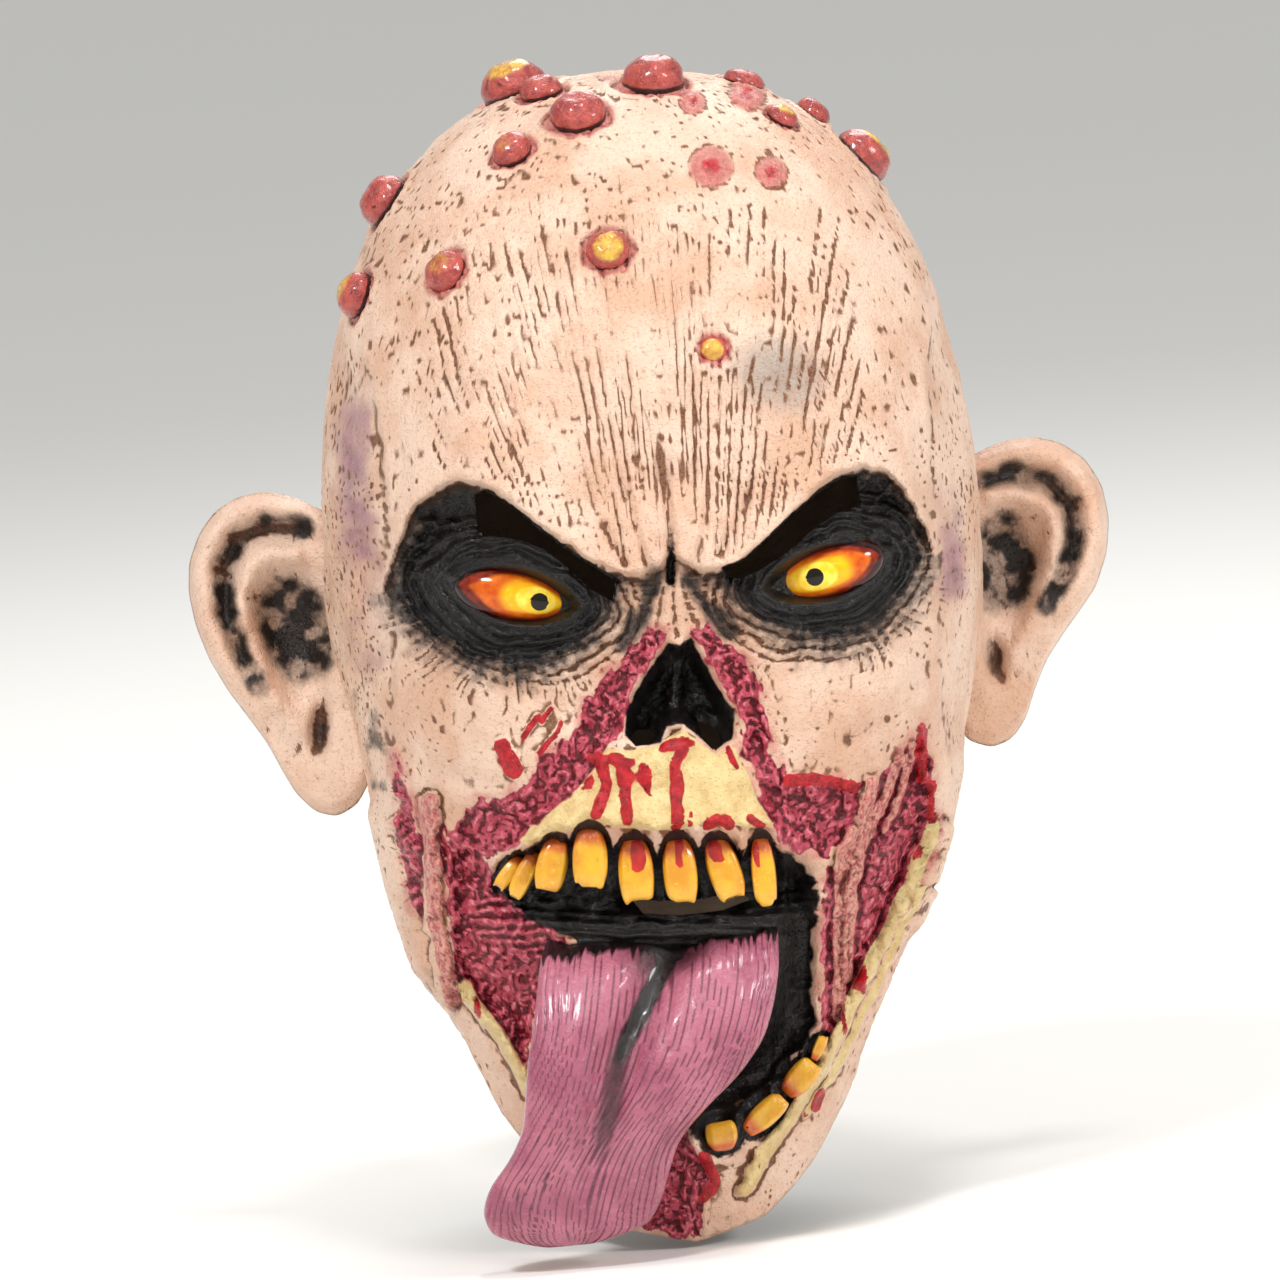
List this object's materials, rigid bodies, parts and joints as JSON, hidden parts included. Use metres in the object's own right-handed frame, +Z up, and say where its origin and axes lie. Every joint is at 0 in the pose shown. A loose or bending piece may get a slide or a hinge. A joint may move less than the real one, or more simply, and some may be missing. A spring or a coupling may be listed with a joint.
{
  "type": "zombie mask",
  "caption": "Over-the-head latex zombie mask with boils, wide ears, torn cheeks, crooked teeth and a long hanging tongue.",
  "frame": {"origin": "inside of the crown, where the mask sits on a head", "axes": "+Z up through the crown, the face looks along -Y, +X to the viewer's right from the front"},
  "size_m": [0.2974, 0.2458, 0.3762],
  "materials": {
    "latex_skin": "painted latex, satin",
    "eye_paint": "gloss paint",
    "tooth_paint": "gloss paint",
    "tongue_paint": "painted latex, wet gloss"
  },
  "bodies": {
    "root": {"mask_skin": "latex_skin", "eye_left": "eye_paint", "eye_right": "eye_paint", "tongue": "tongue_paint", "upper_tooth_1": "tooth_paint", "upper_tooth_2": "tooth_paint", "upper_tooth_3": "tooth_paint", "upper_tooth_4": "tooth_paint", "upper_tooth_5": "tooth_paint", "upper_tooth_6": "tooth_paint", "upper_tooth_7": "tooth_paint", "upper_tooth_8": "tooth_paint", "lower_tooth_1": "tooth_paint", "lower_tooth_2": "tooth_paint", "lower_tooth_3": "tooth_paint", "lower_tooth_4": "tooth_paint"}
  },
  "joints": []
}
